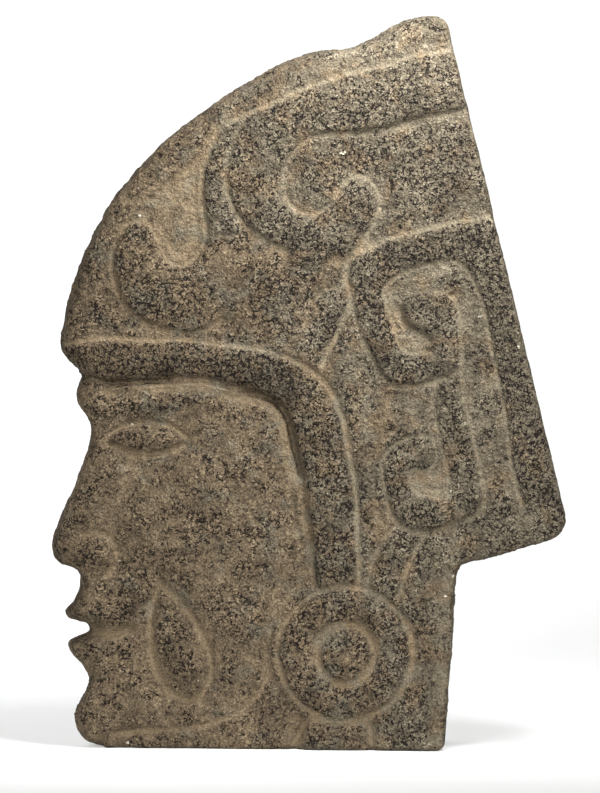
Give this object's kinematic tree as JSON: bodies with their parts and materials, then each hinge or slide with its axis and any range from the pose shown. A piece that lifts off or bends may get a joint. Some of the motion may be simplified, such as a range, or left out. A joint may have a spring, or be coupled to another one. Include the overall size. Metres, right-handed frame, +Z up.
{
  "type": "ceremonial stone hacha",
  "caption": "Thin carved stone wedge shaped as a head in profile under a tall curved headdress, with a flat leaning back and a square notch below it.",
  "frame": {"origin": "middle of the underside of the box around the stone", "axes": "+Z up, -X the way the carved head faces, +X towards the leaning back and the notch, Y across the thickness with the same carving on -Y and +Y"},
  "size_m": [0.1964, 0.0636, 0.28],
  "materials": {
    "stone": null
  },
  "bodies": {
    "root": {"stone_hacha": "stone"}
  },
  "joints": []
}
